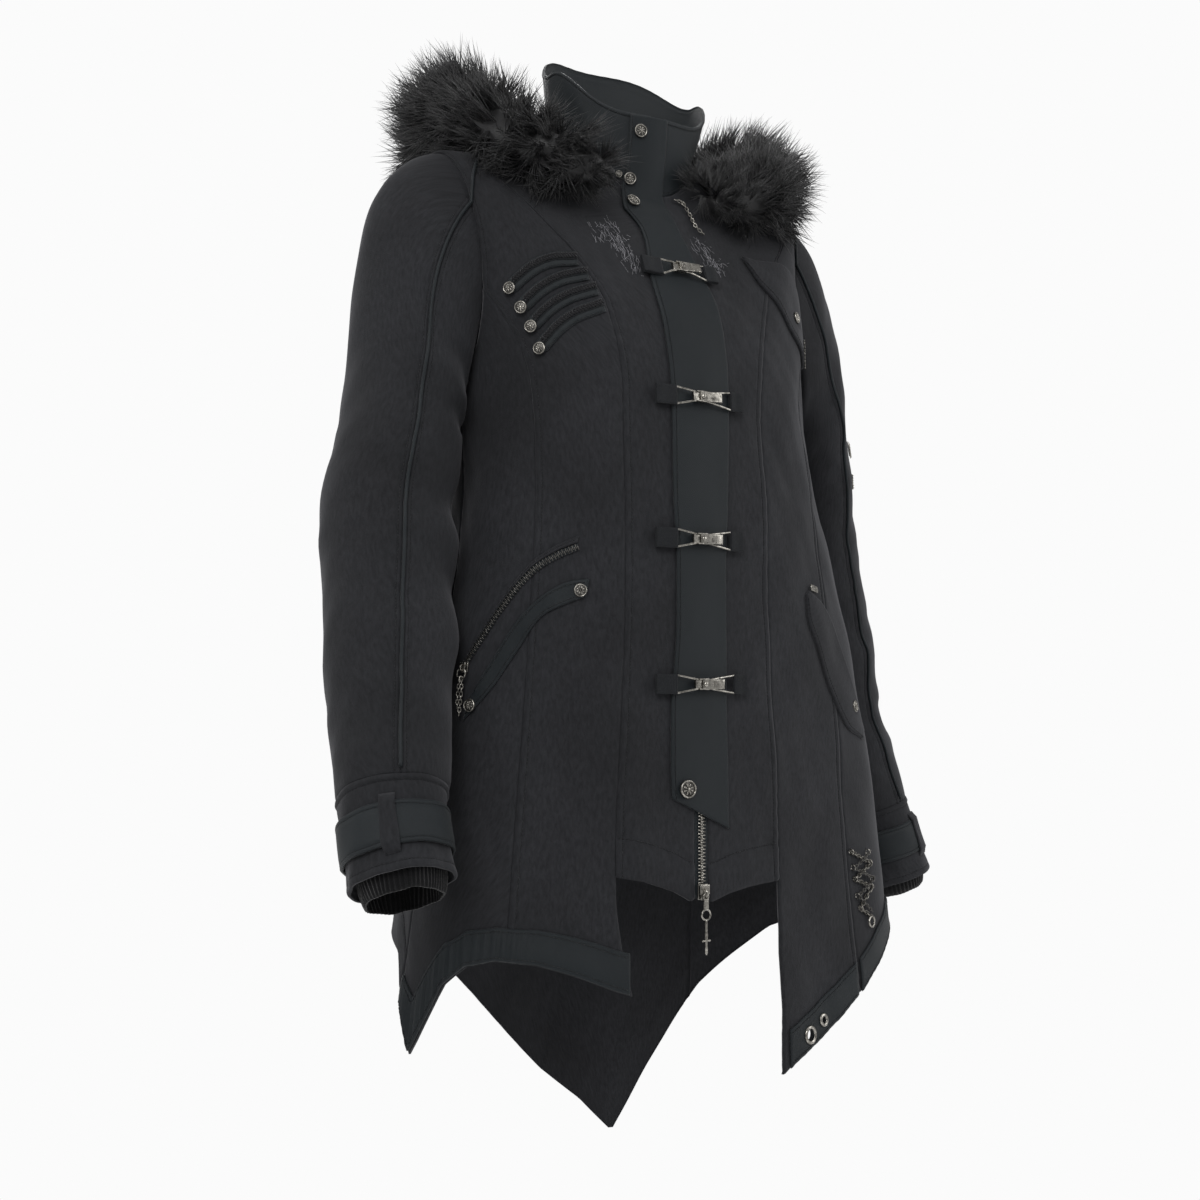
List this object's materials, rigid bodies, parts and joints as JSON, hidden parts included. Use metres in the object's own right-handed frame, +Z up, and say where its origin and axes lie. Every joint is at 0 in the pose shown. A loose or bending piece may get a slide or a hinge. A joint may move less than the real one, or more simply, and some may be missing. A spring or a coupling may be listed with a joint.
{
  "type": "hooded coat-like jacket, worn",
  "caption": "Worn black hooded jacket with a fur trim, stand collar, clasped storm flap over a zip, diagonal pockets and an uneven pointed hem.",
  "frame": {"origin": "on the wearer's middle line at the height of the shoulder tips, where the shoulders carry the jacket", "axes": "+Z up, the front faces -Y, +X is the wearer's left"},
  "size_m": [0.717, 0.3865, 1.0952],
  "materials": {
    "napped_cloth": "soft short nap, dark charcoal black",
    "smooth_cloth": "smooth dense twill, blue-black",
    "rib_knit": "black rib knit",
    "fur": "long black pile",
    "dark_metal": "dark aged silver"
  },
  "bodies": {
    "jacket": {"front_centre_r": "napped_cloth", "front_centre_l": "napped_cloth", "front_middle_r": "napped_cloth", "front_middle_l": "napped_cloth", "front_side_r": "napped_cloth", "front_side_l": "napped_cloth", "back_side_r": "napped_cloth", "back_side_l": "napped_cloth", "back_centre": "napped_cloth", "sleeve_upper_r": "napped_cloth", "sleeve_upper_l": "napped_cloth", "sleeve_under_r": "napped_cloth", "sleeve_under_l": "napped_cloth", "cuff_r": "napped_cloth", "cuff_l": "napped_cloth", "hood_r": "napped_cloth", "hood_l": "napped_cloth", "pocket_welt_r": "napped_cloth", "chest_flap_l": "napped_cloth", "lower_flap_l": "napped_cloth", "collar": "smooth_cloth", "placket": "smooth_cloth", "cuff_strap_r": "smooth_cloth", "cuff_strap_l": "smooth_cloth", "piping_r": "smooth_cloth", "piping_l": "smooth_cloth", "chest_strap_1": "smooth_cloth", "chest_strap_2": "smooth_cloth", "chest_strap_3": "smooth_cloth", "chest_strap_4": "smooth_cloth", "pocket_band_r": "smooth_cloth", "hem_band_r": "smooth_cloth", "hem_band_l": "smooth_cloth", "cuff_rib_r": "rib_knit", "cuff_rib_l": "rib_knit", "hood_fur_trim": "fur", "front_zip": "dark_metal", "pocket_zip_r": "dark_metal", "snap_collar": "dark_metal", "snap_neck_upper": "dark_metal", "snap_neck_lower": "dark_metal", "snap_placket_end": "dark_metal", "clasp_1": "dark_metal", "clasp_2": "dark_metal", "clasp_3": "dark_metal", "clasp_4": "dark_metal", "side_chain": "dark_metal", "neck_chain": "dark_metal", "eyelet_large": "dark_metal", "eyelet_small": "dark_metal", "sleeve_patch_1": "dark_metal", "sleeve_patch_2": "dark_metal", "front_zip_slider": "dark_metal", "pocket_zip_slider": "dark_metal"},
    "front_pull": {"front_zip_pull": "dark_metal"},
    "pocket_pull": {"pocket_zip_pull": "dark_metal"}
  },
  "joints": [
    {"name": "front_pull_swing", "type": "hinge", "parent": "jacket", "child": "front_pull", "pos_m": [0.00404, -0.13686, -0.6473], "axis": [-1, 0, 0], "range_deg": [-6, 110]},
    {"name": "pocket_pull_swing", "type": "hinge", "parent": "jacket", "child": "pocket_pull", "pos_m": [-0.18639, -0.0489, -0.45389], "axis": [-0.321, 0.947, -0.0097], "range_deg": [-5, 8]}
  ]
}
